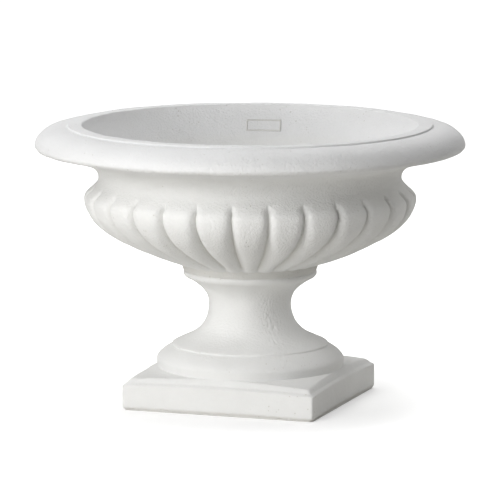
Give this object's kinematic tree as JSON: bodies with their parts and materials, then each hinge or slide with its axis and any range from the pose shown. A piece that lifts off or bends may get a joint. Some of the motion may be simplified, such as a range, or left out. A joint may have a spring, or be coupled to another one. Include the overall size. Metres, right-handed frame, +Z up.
{
  "type": "concrete planter urn",
  "caption": "Wide footed garden urn in white cast concrete, with a gadrooned bowl, a rolled rim, a waisted foot on a square plinth, and a drain closed by a rubber plug.",
  "frame": {"origin": "centre of the square plinth's underside, on the urn's axis, at ground level", "axes": "+Z up along the urn's axis; +X and +Y square to the sides of the plinth"},
  "size_m": [0.5, 0.5, 0.3234],
  "materials": {
    "concrete": "matte white cast concrete with fine pores",
    "mortar": "grey bedding mortar, struck flush",
    "zinc_steel": "zinc-plated steel",
    "rubber": "matte black rubber"
  },
  "bodies": {
    "planter": {"foot": "concrete", "bowl": "concrete", "bedding_ring": "mortar", "tie_tube": "zinc_steel", "sealing_washer": "rubber", "upper_washer": "zinc_steel", "upper_nut": "zinc_steel", "lower_washer": "zinc_steel", "lower_nut": "zinc_steel"},
    "plug": {"drain_plug": "rubber"}
  },
  "joints": [
    {"name": "plug_pull", "type": "slide", "parent": "planter", "child": "plug", "axis": [0, 0, 1], "range_m": [0, 0.16]}
  ]
}
